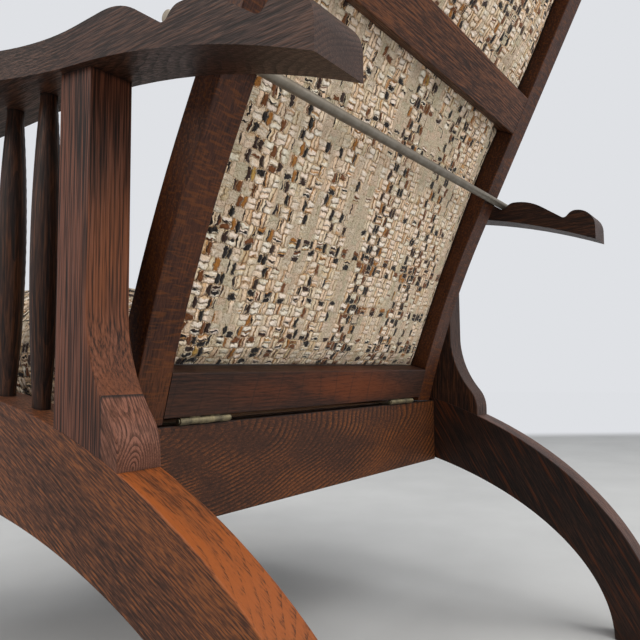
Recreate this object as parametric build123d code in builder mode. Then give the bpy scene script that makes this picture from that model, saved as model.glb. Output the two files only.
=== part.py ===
from build123d import *
from math import acos, cos, degrees, radians, sin, sqrt, tan
import os

# A mission reclining armchair in oak, with a loose seat cushion and a padded back.
# +X is the sitter's left, the chair faces -Y, and Z = 0 is the floor.
# The origin lies on the floor, midway between the two sides and midway along them.

# Driving dimensions, in millimetres
frame_width = 668  # across the outer faces of the two sides
side_thickness = 38
wood_easing = 1.5  # how far a long edge is rounded over
joint_clearance = 0.1  # round a glued tenon, dowel or spindle end
soft_clearance = 0.3  # between upholstery and what it lies on
overrun = 20  # how far a cutting shape runs past what it cuts

# Arched runner of each side: a half ring between two ellipses that stand on the floor
arch_half_length = 535
arch_height = 337
arch_foot_width = 60
arch_crown_depth = 94

# Posts, which stand on the arch and flare into a foot with a glued-on block
post_spread = 516  # outer face of the front post to outer face of the rear post
post_depth = 41
post_blank_depth = 60  # the stock that the upper hollow is sawn from
foot_flare = 40
foot_hollow_radius = 128
foot_toe_radius = 43
foot_toe_height = 10
tenon_width = 22
tenon_depth = 28
foot_tenon_length = 30
arm_tenon_length = 14

# Spindles between the posts
spindle_count = 7
post_spindle_gap = 49  # inner face of a post to the middle of the nearest spindle
spindle_end_radius = 7.3
spindle_belly_radius = 12.2
spindle_neck = 6
spindle_foot_depth = 18
spindle_head_depth = 14

# Arms: a broad flat board that narrows and droops into the notched rack behind
arm_above_arch = 252  # its underside over the top of the arch
arm_thickness = 25
arm_front_overhang = 34
arm_inner_overhang = 5
rack_width = 50
arm_width = 90
arm_corner_radius = 26
arm_taper_front = 60
arm_taper_rear = 246
droop_start = 150
rack_tip_depth = 40.9  # its underside below the rod in the second notch
shoulder_radius = 70
ramp_angle = 35
notch_face_angle = 45
notch_face_length = 3.9
crest_radius = 12.6
rack_tip_radius = 25
notch_drop = 24.3

# Seat rails, cleats and slats
rail_height = 90
rail_thickness = 23
rail_drop = 4.2  # below the edge of the arch
rail_inset = 31  # from the outer face of the posts
cleat_width = 24
cleat_height = 30
cleat_end_gap = 2
cleat_screw_count = 4
cleat_screw_length = 45
cleat_screw_radius = 2.2
cleat_screw_head_radius = 4.4
slat_count = 6
slat_gap = 16
slat_thickness = 16
slat_rail_gap = 14
slat_end_gap = 4
dowel_radius = 5
rail_dowel_length = 56
rail_dowel_pitch = 44

# Hinged back: its rear face leans, then bends further back, then runs straight
back_side_gap = 21
back_depth = 29
back_length = 700
stile_width = 36
stile_horn = 5  # how far a stile runs down past the bottom rail
back_foot_setback = 2.5  # behind the hinges' axis
back_foot_gap = 0.1  # above the hinges' barrels
lower_lean = 15
upper_lean = 26.5
bend_length = 255
bottom_rail_height = 42
middle_rail_low = 396
middle_rail_height = 50
top_rail_height = 60
back_dowel_length = 50
back_dowel_shares = (0.27, 0.73)

# Butt hinges between the seat rail and the back
hinge_length = 63.5
hinge_stile_gap = 19.25
knuckle_radius = 3.2
knuckle_count = 5
knuckle_gap = 0.3
knuckle_seat_gap = 0.2
leaf_thickness = 1.4
leaf_width = 20
pin_radius = 1.4
pin_clearance = 0.05
pin_head_radius = 2.2
pin_head_length = 1.5
hinge_axis_overhang = 2.5  # behind the seat rail
hinge_screw_length = 16
hinge_screw_radius = 1.6
hinge_screw_head_radius = 3.1
hinge_screw_shares = (-0.34, 0, 0.34)

# Steel rod that the back rests on
rod_radius = 5
rod_drop = 26.8  # below the top of the arm
rod_end_inset = 3
rod_end_easing = 1

# Upholstery
seat_side_gap = 6
seat_front_overhang = 35
seat_rear_gap = 28
seat_edge_height = 104
seat_crown = 32  # above the edge
seat_front_extra = 8
seat_side_bulge = 9
cushion_low = 110
cushion_high = 690
cushion_side_gap = 19
cushion_edge = 36
cushion_crown = 38  # above the edge
cushion_side_bulge = 9
panel_edge_recess = 22
panel_middle_recess = 9

# Loft tables: where a section stands as a share of the half width, how much of the crown it has
# as a share, and how far its ends draw in as a share of the side bulge
seat_section_shares = ((-1, 0.15, 1.6), (-0.9, 0.5, 0.0), (-0.5, 0.88, 0.55), (0, 1.0, 0.8),
                       (0.5, 0.88, 0.55), (0.9, 0.5, 0.0), (1, 0.15, 1.6))
cushion_section_shares = ((-1, 0.12, 1.8), (-0.88, 0.55, 0.0), (-0.45, 0.9, 0.5), (0, 1.0, 0.7),
                          (0.45, 0.9, 0.5), (0.88, 0.55, 0.0), (1, 0.12, 1.8))
panel_section_shares = ((-1, 0.1), (-0.86, 0.5), (-0.45, 0.88), (0, 1.0),
                        (0.45, 0.88), (0.86, 0.5), (1, 0.1))
end_squeeze_share = 0.75  # how much of its edge height an end section of the seat cushion keeps


def arch_top(y):
    """Height of the arch's upper edge."""
    return arch_height * sqrt(1 - (y / arch_half_length) ** 2)


# Places worked out from the driving dimensions
side_inner_x = frame_width / 2 - side_thickness
side_middle_x = frame_width / 2 - side_thickness / 2
arch_inner_half_length = arch_half_length - arch_foot_width
arch_inner_height = arch_height - arch_crown_depth
post_outer_y = post_spread / 2
post_inner_y = post_outer_y - post_depth
post_middle_y = post_outer_y - post_depth / 2
block_face_y = post_inner_y + post_blank_depth
foot_end_y = post_outer_y + foot_flare
spindle_pitch = 2 * (post_inner_y - post_spindle_gap) / (spindle_count - 1)
arm_underside = arch_height + arm_above_arch
arm_top = arm_underside + arm_thickness
arm_front = post_outer_y + arm_front_overhang
arm_inner_x = side_inner_x - arm_inner_overhang
rack_outer_x = arm_inner_x + rack_width
arm_outer_x = arm_inner_x + arm_width
rail_back_y = post_outer_y - rail_inset
rail_front_y = rail_back_y - rail_thickness
rail_top = arch_top(rail_back_y) - rail_drop
slat_top = rail_top
slat_width = (2 * (rail_front_y - slat_rail_gap) - (slat_count - 1) * slat_gap) / slat_count
cleat_top = slat_top - slat_thickness
cleat_length = 2 * (rail_front_y - cleat_end_gap)
stile_outer_x = side_inner_x - back_side_gap
stile_inner_x = stile_outer_x - stile_width
bend_radius = bend_length / radians(upper_lean - lower_lean)
hinge_x = stile_inner_x - hinge_stile_gap - hinge_length / 2
hinge_axis_y = rail_back_y + hinge_axis_overhang
hinge_axis_z = rail_top + knuckle_seat_gap + knuckle_radius
back_foot_y = hinge_axis_y + back_foot_setback
back_foot_z = hinge_axis_z + knuckle_radius + back_foot_gap
seat_radius = rod_radius + soft_clearance


def back_point(along, forward=0):
    """Y and Z of a point of the back: its way up the rear face, and its way in front of that face."""
    on_bend = min(max(along, 0), bend_length)
    lean = radians(lower_lean) + on_bend / bend_radius
    start = radians(lower_lean)
    y = back_foot_y + bend_radius * (cos(start) - cos(lean)) + (along - on_bend) * sin(lean)
    z = back_foot_z + bend_radius * (sin(lean) - sin(start)) + (along - on_bend) * cos(lean)
    return y - forward * cos(lean), z + forward * sin(lean)


def back_edge(low, high, forward):
    """The line that runs up the back at one depth, in pieces that end where the bend does."""
    stops = [low] + [stop for stop in (0, bend_length) if low < stop < high] + [high]
    for start, end in zip(stops, stops[1:]):
        ends = back_point(start, forward), back_point(end, forward)
        if start >= 0 and end <= bend_length:
            ThreePointArc(ends[0], back_point((start + end) / 2, forward), ends[1])
        else:
            Line(*ends)


def back_outline(low, high):
    """Outline of a stretch of the back frame, at its full depth."""
    back_edge(low, high, 0)
    back_edge(low, high, back_depth)
    for end in (low, high):
        Line(back_point(end, 0), back_point(end, back_depth))


def write(piece, label):
    """Label one finished piece and write its file."""
    piece.part.label = label
    export_step(piece.part, f"parts/{label}.step")


def write_pair(piece, name):
    """Write a left-hand piece, and its mirror image for the right-hand side."""
    write(piece, f"left_{name}")
    with BuildPart() as right_piece:
        add(mirror(piece.part, about=Plane.YZ, mode=Mode.PRIVATE))
    write(right_piece, f"right_{name}")


def ease(piece, keep):
    """Round over the edges of a piece's two side faces that keep() picks."""
    faces = piece.faces().filter_by(Axis.X).sort_by(Axis.X)
    picked = [edge for face in (faces[0], faces[-1]) for edge in face.edges() if keep(edge)]
    fillet(picked, radius=wood_easing)


def cross_dowel(x, y, z, radius, length, mode=Mode.ADD):
    """A round peg along X."""
    with Locations(Location((x, y, z), (0, 90, 0))):
        Cylinder(radius, length, mode=mode)


os.makedirs("parts", exist_ok=True)

# Arched runners, first as blanks that the posts are fitted to
with BuildPart() as arch_blank:
    with BuildSketch(Plane.YZ.offset(side_inner_x)):
        Ellipse(arch_half_length, arch_height)
        Ellipse(arch_inner_half_length, arch_inner_height, mode=Mode.SUBTRACT)
        with Locations((0, -arch_height / 2)):
            Rectangle(2 * (arch_half_length + overrun), arch_height, mode=Mode.SUBTRACT)
    extrude(amount=side_thickness)

# Rod seats in the rack: the first is where the rod meets the leaning back
bend_top_z = back_point(bend_length, -seat_radius)[1]
rod_up_back = bend_length + (arm_top - rod_drop - bend_top_z) / cos(radians(upper_lean))
first_seat = back_point(rod_up_back, -seat_radius)
ramp, face_slope = radians(ramp_angle), radians(notch_face_angle)
foot_of_ramp = (-seat_radius * sin(ramp), -seat_radius * cos(ramp))
crest_of_notch = (seat_radius * sin(face_slope) + notch_face_length * cos(face_slope)
                  + crest_radius * sin(face_slope),
                  -seat_radius * cos(face_slope) + notch_face_length * sin(face_slope)
                  + crest_radius * (1 - cos(face_slope)))


def ramp_reach(drop):
    """How far back a ramp runs while it drops: a round shoulder, then a straight slope."""
    return shoulder_radius * sin(ramp) + (drop - shoulder_radius * (1 - cos(ramp))) / tan(ramp)


ramp_start_y = first_seat[0] + foot_of_ramp[0] - ramp_reach(arm_top - first_seat[1] - foot_of_ramp[1])
second_seat_z = first_seat[1] - notch_drop
second_seat = (first_seat[0] + crest_of_notch[0] - foot_of_ramp[0]
               + ramp_reach(first_seat[1] + crest_of_notch[1] - second_seat_z - foot_of_ramp[1]),
               second_seat_z)


def rack_step(crest, seat):
    """One step of the rack: down the ramp, round the seat, and up the notch to the next crest."""
    shoulder = JernArc(crest, (1, 0), shoulder_radius, -ramp_angle)
    foot = (seat[0] + foot_of_ramp[0], seat[1] + foot_of_ramp[1])
    Line(shoulder @ 1, foot)
    hollow = JernArc(foot, (cos(ramp), -sin(ramp)), seat_radius, ramp_angle + notch_face_angle)
    notch_face = PolarLine(hollow @ 1, notch_face_length, notch_face_angle)
    nose = JernArc(notch_face @ 1, (cos(face_slope), sin(face_slope)), crest_radius, -notch_face_angle)
    return nose @ 1


# Arms
rack_tip_underside = second_seat_z - rack_tip_depth
with BuildPart() as arm_blank:
    with BuildSketch(Plane.YZ.offset(arm_inner_x)):
        with BuildLine():
            first_crest = rack_step((ramp_start_y, arm_top), first_seat)
            last_crest = rack_step(first_crest, second_seat)
            tip = JernArc(last_crest, (1, 0), rack_tip_radius, -90)
            tip_corner = ((tip @ 1).X, rack_tip_underside)
            Line(tip @ 1, tip_corner)
            TangentArc((droop_start, arm_underside), tip_corner, tangent=(1, 0))
            Polyline((droop_start, arm_underside), (-arm_front, arm_underside), (-arm_front, arm_top),
                     (ramp_start_y, arm_top))
        make_face()
    extrude(amount=arm_width)
    with BuildSketch(Plane.XY.offset(rack_tip_underside - overrun)):
        with BuildLine():
            Polyline((rack_outer_x, arm_taper_rear), (rack_outer_x, tip_corner[0] + overrun),
                     (arm_inner_x, tip_corner[0] + overrun), (arm_inner_x, -arm_front),
                     (arm_outer_x, -arm_front), (arm_outer_x, arm_taper_front))
            waist = ((rack_outer_x + arm_outer_x) / 2, (arm_taper_front + arm_taper_rear) / 2)
            TangentArc((arm_outer_x, arm_taper_front), waist, tangent=(0, 1))
            TangentArc((rack_outer_x, arm_taper_rear), waist, tangent=(0, -1))
        make_face()
    extrude(amount=arm_top - rack_tip_underside + 2 * overrun, mode=Mode.INTERSECT)
    front_corners = arm_blank.edges().filter_by(Axis.Z).group_by(Axis.Y)[0]
    fillet(front_corners, radius=arm_corner_radius)

# Posts and their foot blocks
foot_turn = acos(1 - foot_flare / (foot_hollow_radius + foot_toe_radius))
block_turn = acos(1 - (block_face_y - post_outer_y) / foot_hollow_radius)
toe_z = arch_top(foot_end_y) + foot_toe_height
hollow_z = toe_z + (foot_hollow_radius + foot_toe_radius) * sin(foot_turn)
blank_low = arch_top(foot_end_y) - foot_tenon_length
blank_high = (arm_underside + arm_top) / 2
foot_tenon_low = arch_top(post_middle_y) - foot_tenon_length


def hollow_point(turn):
    """A point of the hollow that the foot flares in, by how far the hollow has turned."""
    return (post_outer_y + foot_hollow_radius * (1 - cos(turn)), hollow_z - foot_hollow_radius * sin(turn))


def toe_point(turn):
    """A point of the rounded toe, by how far it still has to turn."""
    return (foot_end_y - foot_toe_radius * (1 - cos(turn)), toe_z + foot_toe_radius * sin(turn))


def tenons(middle_y, grow, mode=Mode.ADD):
    """The two tenons of a post, or their mortises."""
    for low, high in ((foot_tenon_low, arch_top(post_inner_y)),
                      (arm_underside - arm_thickness, arm_underside + arm_tenon_length)):
        with Locations((side_middle_x, middle_y, (low + high) / 2)):
            Box(tenon_width + 2 * grow, tenon_depth + 2 * grow, high - low + 2 * grow, mode=mode)


with BuildPart() as post_blank:
    with BuildSketch(Plane.YZ.offset(side_inner_x)):
        with BuildLine():
            ThreePointArc(hollow_point(0), hollow_point(block_turn / 2), hollow_point(block_turn))
            Polyline(hollow_point(block_turn), (block_face_y, blank_low), (post_inner_y, blank_low),
                     (post_inner_y, blank_high), (post_outer_y, blank_high), hollow_point(0))
        make_face()
        Ellipse(arch_half_length, arch_height, mode=Mode.SUBTRACT)
    extrude(amount=side_thickness)
    ease(post_blank, lambda edge: (edge.geom_type != GeomType.ELLIPSE and edge.center().Z < blank_high
                                   and edge.center().Y < block_face_y))

with BuildPart() as foot_block:
    with BuildSketch(Plane.YZ.offset(side_inner_x)):
        with BuildLine():
            ThreePointArc(hollow_point(block_turn), hollow_point((block_turn + foot_turn) / 2),
                          hollow_point(foot_turn))
            ThreePointArc(toe_point(foot_turn), toe_point(foot_turn / 2), toe_point(0))
            Polyline(toe_point(0), (foot_end_y, blank_low), (block_face_y, blank_low),
                     hollow_point(block_turn))
        make_face()
        Ellipse(arch_half_length, arch_height, mode=Mode.SUBTRACT)
    extrude(amount=side_thickness)
    ease(foot_block, lambda edge: edge.geom_type != GeomType.ELLIPSE and edge.center().Y > block_face_y)

with BuildPart() as rear_post:
    add(post_blank.part)
    add(arm_blank.part, mode=Mode.SUBTRACT)
    tenons(post_middle_y, 0)
write_pair(rear_post, "rear_post")
write_pair(foot_block, "rear_foot_block")

with BuildPart() as front_post:
    add(mirror(post_blank.part, about=Plane.XZ, mode=Mode.PRIVATE))
    add(arm_blank.part, mode=Mode.SUBTRACT)
    tenons(-post_middle_y, 0)
write_pair(front_post, "front_post")

with BuildPart() as front_foot_block:
    add(mirror(foot_block.part, about=Plane.XZ, mode=Mode.PRIVATE))
write_pair(front_foot_block, "front_foot_block")

# Spindles, turned with a plain end in the arch and another in the arm
droop = arm_underside - rack_tip_underside
droop_radius = ((tip_corner[0] - droop_start) ** 2 + droop ** 2) / (2 * droop)
spindle_places = [spindle_pitch * (index - (spindle_count - 1) / 2) for index in range(spindle_count)]


def arm_low(y):
    """Height of the arm's underside."""
    return arm_underside - droop_radius + sqrt(droop_radius ** 2 - max(y - droop_start, 0) ** 2)


for number, y in enumerate(spindle_places, 1):
    low, high = arch_top(y), arm_low(y)
    with BuildPart() as spindle:
        with BuildSketch(Plane(origin=(side_middle_x, y, 0), x_dir=(1, 0, 0), z_dir=(0, -1, 0))):
            with BuildLine():
                neck_low = (spindle_end_radius, low + spindle_neck)
                neck_high = (spindle_end_radius, high - spindle_neck)
                ThreePointArc(neck_low, (spindle_belly_radius, (low + high) / 2), neck_high)
                Polyline(neck_high, (spindle_end_radius, high + spindle_head_depth),
                         (0, high + spindle_head_depth), (0, low - spindle_foot_depth),
                         (spindle_end_radius, low - spindle_foot_depth), neck_low)
            make_face()
        revolve(axis=Axis((side_middle_x, y, 0), (0, 0, 1)))
    write_pair(spindle, f"spindle_{number}")


def bore(y, low, high):
    """A hole for a spindle's end."""
    with Locations((side_middle_x, y, (low + high) / 2)):
        Cylinder(spindle_end_radius + joint_clearance, high - low, rotation=(0, 0, 90), mode=Mode.SUBTRACT)


def rail_dowel_places():
    """Y and Z of the dowels in the ends of the seat rails."""
    for direction in (-1, 1):
        for step in (-1, 1):
            yield (direction * (rail_back_y - rail_thickness / 2),
                   rail_top - rail_height / 2 + step * rail_dowel_pitch / 2)


def cleat_screws(head_x, grow, mode=Mode.ADD):
    """The countersunk screws of one cleat, driven along X from its inner face, or their holes."""
    for index in range(cleat_screw_count):
        y = cleat_length * ((index + 1 / 2) / cleat_screw_count - 1 / 2)
        with Locations(Location((head_x, y, cleat_top - cleat_height / 2), (0, 90, 0))):
            Cylinder(cleat_screw_radius + grow, cleat_screw_length + grow, mode=mode,
                     align=(Align.CENTER, Align.CENTER, Align.MIN))
            Cone(cleat_screw_head_radius + grow, cleat_screw_radius + grow,
                 cleat_screw_head_radius - cleat_screw_radius, mode=mode,
                 align=(Align.CENTER, Align.CENTER, Align.MIN))


# The arch and the arm, with their mortises and holes
cleat_face_x = side_inner_x - cleat_width
with BuildPart() as arch:
    add(arch_blank.part)
    for post_y in (-post_middle_y, post_middle_y):
        tenons(post_y, joint_clearance, mode=Mode.SUBTRACT)
    for y in spindle_places:
        bore(y, arch_top(y) - spindle_foot_depth, arch_top(y) + overrun)
    for y, z in rail_dowel_places():
        cross_dowel(side_inner_x, y, z, dowel_radius + joint_clearance, rail_dowel_length, mode=Mode.SUBTRACT)
    cleat_screws(cleat_face_x, joint_clearance, mode=Mode.SUBTRACT)
    fillet(arch.edges().filter_by(GeomType.ELLIPSE), radius=wood_easing)
write_pair(arch, "arch")

with BuildPart() as arm:
    add(arm_blank.part)
    for post_y in (-post_middle_y, post_middle_y):
        tenons(post_y, joint_clearance, mode=Mode.SUBTRACT)
    for y in spindle_places:
        bore(y, arm_low(y) - overrun, arm_low(y) + spindle_head_depth)
write_pair(arm, "arm")

# Hinge geometry, shared by the leaves, their screws and the wood that they are screwed to.
# Each leaf is set out on the face that it lies on: local X along the barrel, local Y to the rear.
first_lean = radians(lower_lean)
barrel_drop = (back_foot_y - hinge_axis_y) * sin(first_lean) + (back_foot_z - hinge_axis_z) * cos(first_lean)
rail_face = Plane(origin=(hinge_x, hinge_axis_y, rail_top), x_dir=(1, 0, 0), z_dir=(0, 0, 1))
back_face = Plane(origin=(hinge_x, hinge_axis_y + barrel_drop * sin(first_lean),
                          hinge_axis_z + barrel_drop * cos(first_lean)),
                  x_dir=(1, 0, 0), z_dir=(0, sin(first_lean), cos(first_lean)))
leaf_rear = -knuckle_radius - knuckle_gap
knuckle_pitch = hinge_length / knuckle_count


def hinge_screws(face, side, grow, mode=Mode.ADD):
    """The countersunk screws of one leaf, or their holes: they point down if side is 1, up if it is -1."""
    seat = (Align.CENTER, Align.CENTER, Align.MAX if side > 0 else Align.MIN)
    shank, head = hinge_screw_radius + grow, hinge_screw_head_radius + grow
    ends = (shank, head) if side > 0 else (head, shank)
    for share in hinge_screw_shares:
        spot = Location((share * hinge_length, leaf_rear - leaf_width / 2, side * leaf_thickness))
        with Locations(face.location * spot):
            Cylinder(shank, hinge_screw_length + grow, align=seat, mode=mode)
            Cone(*ends, hinge_screw_head_radius - hinge_screw_radius, align=seat, mode=mode)


def hinge_faces(face):
    """The faces that the left and the right hinge lie on."""
    return face, Plane(origin=(-hinge_x, face.origin.Y, face.origin.Z), x_dir=face.x_dir, z_dir=face.z_dir)


def hinge_leaf(face, side, barrel_z, first_knuckle):
    """A leaf that stands off its face by its thickness, with every second knuckle of the barrel."""
    with BuildPart() as leaf:
        with Locations(face.location * Location((0, leaf_rear - leaf_width / 2, side * leaf_thickness / 2))):
            Box(hinge_length, leaf_width, leaf_thickness)
        for number in range(first_knuckle, knuckle_count, 2):
            along = (number - (knuckle_count - 1) / 2) * knuckle_pitch
            with Locations(face.location * Location((along, leaf_rear / 2, side * leaf_thickness / 2))):
                Box(knuckle_pitch - knuckle_gap, -leaf_rear, leaf_thickness)
            with Locations(face.location * Location((along, 0, barrel_z), (0, 90, 0))):
                Cylinder(knuckle_radius, knuckle_pitch - knuckle_gap)
        with Locations(face.location * Location((0, 0, barrel_z), (0, 90, 0))):
            Cylinder(pin_radius + pin_clearance, hinge_length + overrun, mode=Mode.SUBTRACT)
        hinge_screws(face, side, joint_clearance, mode=Mode.SUBTRACT)
    return leaf


# Seat rails, their dowels, the cleats and the slats
for name, direction in (("rear_seat_rail", 1), ("front_seat_rail", -1)):
    with BuildPart() as rail:
        with Locations((0, direction * (rail_back_y - rail_thickness / 2), rail_top - rail_height / 2)):
            Box(2 * side_inner_x, rail_thickness, rail_height)
        fillet(rail.edges().filter_by(Axis.X), radius=wood_easing)
        for y, z in rail_dowel_places():
            if y * direction > 0:
                for end_x in (-side_inner_x, side_inner_x):
                    cross_dowel(end_x, y, z, dowel_radius + joint_clearance, rail_dowel_length,
                                mode=Mode.SUBTRACT)
        if direction > 0:
            for face in hinge_faces(rail_face):
                hinge_screws(face, 1, joint_clearance, mode=Mode.SUBTRACT)
    write(rail, name)

with BuildPart() as rail_dowels:
    for y, z in rail_dowel_places():
        for end_x in (-side_inner_x, side_inner_x):
            cross_dowel(end_x, y, z, dowel_radius, rail_dowel_length)
write(rail_dowels, "rail_dowels")

with BuildPart() as seat_cleat:
    with Locations((side_inner_x - cleat_width / 2, 0, cleat_top - cleat_height / 2)):
        Box(cleat_width, cleat_length, cleat_height)
    cleat_screws(cleat_face_x, joint_clearance, mode=Mode.SUBTRACT)
write_pair(seat_cleat, "seat_cleat")

with BuildPart() as cleat_screw_set:
    cleat_screws(cleat_face_x, 0)
    mirror(about=Plane.YZ)
write(cleat_screw_set, "cleat_screws")

for number in range(1, slat_count + 1):
    with BuildPart() as slat:
        slat_y = (slat_width + slat_gap) * (number - (slat_count + 1) / 2)
        with Locations((0, slat_y, slat_top - slat_thickness / 2)):
            Box(2 * (side_inner_x - slat_end_gap), slat_width, slat_thickness)
        fillet(slat.edges().filter_by(Axis.X), radius=wood_easing)
    write(slat, f"seat_slat_{number}")

# Hinges: the fixed leaves and the pins, then the moving leaves
write_pair(hinge_leaf(rail_face, 1, hinge_axis_z - rail_top, 0), "fixed_hinge_leaf")
write_pair(hinge_leaf(back_face, -1, -barrel_drop, 1), "moving_hinge_leaf")

with BuildPart() as hinge_pin:
    cross_dowel(hinge_x, hinge_axis_y, hinge_axis_z, pin_radius, hinge_length + 2 * pin_clearance)
    for end in (-1, 1):
        head_x = hinge_x + end * (hinge_length / 2 + pin_clearance + pin_head_length / 2)
        cross_dowel(head_x, hinge_axis_y, hinge_axis_z, pin_head_radius, pin_head_length)
write_pair(hinge_pin, "hinge_pin")

for face, side, name in ((rail_face, 1, "fixed_hinge_screws"), (back_face, -1, "moving_hinge_screws")):
    with BuildPart() as screws:
        for hinge_face in hinge_faces(face):
            hinge_screws(hinge_face, side, 0)
    write(screws, name)

# Back frame
back_rails = {"back_bottom_rail": (0, bottom_rail_height),
              "back_middle_rail": (middle_rail_low, middle_rail_low + middle_rail_height),
              "back_top_rail": (back_length - top_rail_height, back_length)}


def back_dowels(low, high, ends, grow, mode=Mode.ADD):
    """The dowels in the ends of one rail of the back, or their holes."""
    for share in back_dowel_shares:
        y, z = back_point(low + (high - low) * share, back_depth / 2)
        for end_x in ends:
            cross_dowel(end_x, y, z, dowel_radius + grow, back_dowel_length, mode=mode)


with BuildPart() as back_stile:
    with BuildSketch(Plane.YZ.offset(stile_inner_x)):
        with BuildLine():
            back_outline(-stile_horn, back_length)
        make_face()
    extrude(amount=stile_width)
    ease(back_stile, lambda edge: True)
    for low, high in back_rails.values():
        back_dowels(low, high, (stile_inner_x,), joint_clearance, mode=Mode.SUBTRACT)
write_pair(back_stile, "back_stile")

for name, (low, high) in back_rails.items():
    with BuildPart() as back_rail:
        with BuildSketch(Plane.YZ.offset(-stile_inner_x)):
            with BuildLine():
                back_outline(low, high)
            make_face()
        extrude(amount=2 * stile_inner_x)
        fillet(back_rail.edges().filter_by(Axis.X), radius=wood_easing)
        back_dowels(low, high, (-stile_inner_x, stile_inner_x), joint_clearance, mode=Mode.SUBTRACT)
        if low == 0:
            for face in hinge_faces(back_face):
                hinge_screws(face, -1, joint_clearance, mode=Mode.SUBTRACT)
    write(back_rail, name)

with BuildPart() as back_dowel_set:
    for low, high in back_rails.values():
        back_dowels(low, high, (-stile_inner_x, stile_inner_x), 0)
write(back_dowel_set, "back_dowels")

# Support rod, across both racks
with BuildPart() as support_rod:
    rod_length = 2 * (rack_outer_x - rod_end_inset)
    cross_dowel(0, first_seat[0], first_seat[1], rod_radius, rod_length)
    fillet(support_rod.edges().filter_by(GeomType.CIRCLE), radius=rod_end_easing)
write(support_rod, "support_rod")

# Seat cushion: crowned on top, drawn in between its corners, flat where it lies on the slats
seat_half_width = side_inner_x - seat_side_gap
seat_low = slat_top + soft_clearance
with BuildPart() as seat_cushion:
    for place_share, crown_share, draw_share in seat_section_shares:
        edge = seat_low + seat_edge_height * (end_squeeze_share if abs(place_share) == 1 else 1)
        front = -rail_back_y - seat_front_overhang + draw_share * seat_side_bulge
        rear = rail_back_y - seat_rear_gap - draw_share * seat_side_bulge
        crown = edge + seat_front_extra / 2 + seat_crown * crown_share
        corners = ((rear - seat_side_bulge, seat_low), (rear - seat_side_bulge, edge),
                   (front + seat_side_bulge, edge + seat_front_extra), (front + seat_side_bulge, seat_low))
        with BuildSketch(Plane.YZ.offset(place_share * seat_half_width)):
            with BuildLine():
                ThreePointArc(corners[0], (rear, (seat_low + edge) / 2), corners[1])
                ThreePointArc(corners[1], ((front + rear) / 2, crown), corners[2])
                ThreePointArc(corners[2], (front, (seat_low + edge) / 2), corners[3])
                Line(corners[3], corners[0])
            make_face()
    loft()
write(seat_cushion, "seat_cushion")

# Back cushion, which lies against the front of the back frame
with BuildPart() as back_cushion:
    rear = back_depth + soft_clearance
    for place_share, crown_share, draw_share in cushion_section_shares:
        draw = draw_share * cushion_side_bulge
        low, high = cushion_low + cushion_side_bulge + draw, cushion_high - cushion_side_bulge - draw
        edge = rear + cushion_edge * (end_squeeze_share if abs(place_share) == 1 else 1)
        with BuildSketch(Plane.YZ.offset(place_share * (stile_outer_x - cushion_side_gap))):
            with BuildLine():
                back_edge(low, high, rear)
                for end, bulge in ((low, -cushion_side_bulge), (high, cushion_side_bulge)):
                    ThreePointArc(back_point(end, rear), back_point(end + bulge, (rear + edge) / 2),
                                  back_point(end, edge))
                ThreePointArc(back_point(low, edge),
                              back_point((low + high) / 2, edge + cushion_crown * crown_share),
                              back_point(high, edge))
            make_face()
    loft()
write(back_cushion, "back_cushion")

# Padded panels between the stiles, crowned to the rear
panel_spans = {"lower_back_panel": (bottom_rail_height, middle_rail_low),
               "upper_back_panel": (middle_rail_low + middle_rail_height, back_length - top_rail_height)}
for name, (span_low, span_high) in panel_spans.items():
    low, high = span_low + soft_clearance, span_high - soft_clearance
    with BuildPart() as panel:
        for place_share, crown_share in panel_section_shares:
            recess = panel_edge_recess + (panel_middle_recess - panel_edge_recess) * crown_share
            with BuildSketch(Plane.YZ.offset(place_share * (stile_inner_x - soft_clearance))):
                with BuildLine():
                    back_edge(low, high, back_depth)
                    for end in (low, high):
                        Line(back_point(end, back_depth), back_point(end, panel_edge_recess))
                    ThreePointArc(back_point(low, panel_edge_recess), back_point((low + high) / 2, recess),
                                  back_point(high, panel_edge_recess))
                make_face()
        loft()
    write(panel, name)

# Places that describe the joints
print(f"hinge axis y {hinge_axis_y:.3f} z {hinge_axis_z:.3f}")
for place, seat in (("first", first_seat), ("second", second_seat)):
    print(f"rod in the {place} notch y {seat[0]:.3f} z {seat[1]:.3f}")
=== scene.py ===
import bpy
import bmesh
import numpy as np
from math import cos, radians, sin
from mathutils import Matrix, Vector


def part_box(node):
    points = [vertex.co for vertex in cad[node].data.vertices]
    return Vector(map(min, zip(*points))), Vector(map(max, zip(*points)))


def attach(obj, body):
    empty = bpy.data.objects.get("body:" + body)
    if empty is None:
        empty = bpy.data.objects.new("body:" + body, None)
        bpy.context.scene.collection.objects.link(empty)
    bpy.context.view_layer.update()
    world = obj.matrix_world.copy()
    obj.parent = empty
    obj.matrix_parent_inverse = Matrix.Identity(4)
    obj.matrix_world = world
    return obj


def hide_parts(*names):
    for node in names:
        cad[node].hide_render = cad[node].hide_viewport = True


# A mission reclining armchair in dark fumed oak, with tweed upholstery, a steel rod and brass hinges.
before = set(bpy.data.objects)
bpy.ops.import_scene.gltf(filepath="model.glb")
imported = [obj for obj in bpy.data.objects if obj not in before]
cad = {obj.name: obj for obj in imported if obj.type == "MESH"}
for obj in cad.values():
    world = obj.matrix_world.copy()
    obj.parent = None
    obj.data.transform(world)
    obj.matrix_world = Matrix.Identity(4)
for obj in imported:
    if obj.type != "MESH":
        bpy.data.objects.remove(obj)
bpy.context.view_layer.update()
scene = bpy.context.scene

# Sizes of the chair in metres
STILE_INNER_X = 0.239
BACK_FOOT = Vector((0, 0.232, 0.3077))
BACK_LEAN = radians(20.5)  # of the whole back, the bend left out
SEAT_LOW = 0.3013  # the seat cushion lies on the slats at this height
SEAT_SIDE = 0.292  # the seat cushion ends just inside the chair's sides
SEAT_BACK = 0.199  # and just in front of the back
TUCK = 0.003  # how far the edges of the panels go into the frame

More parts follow.
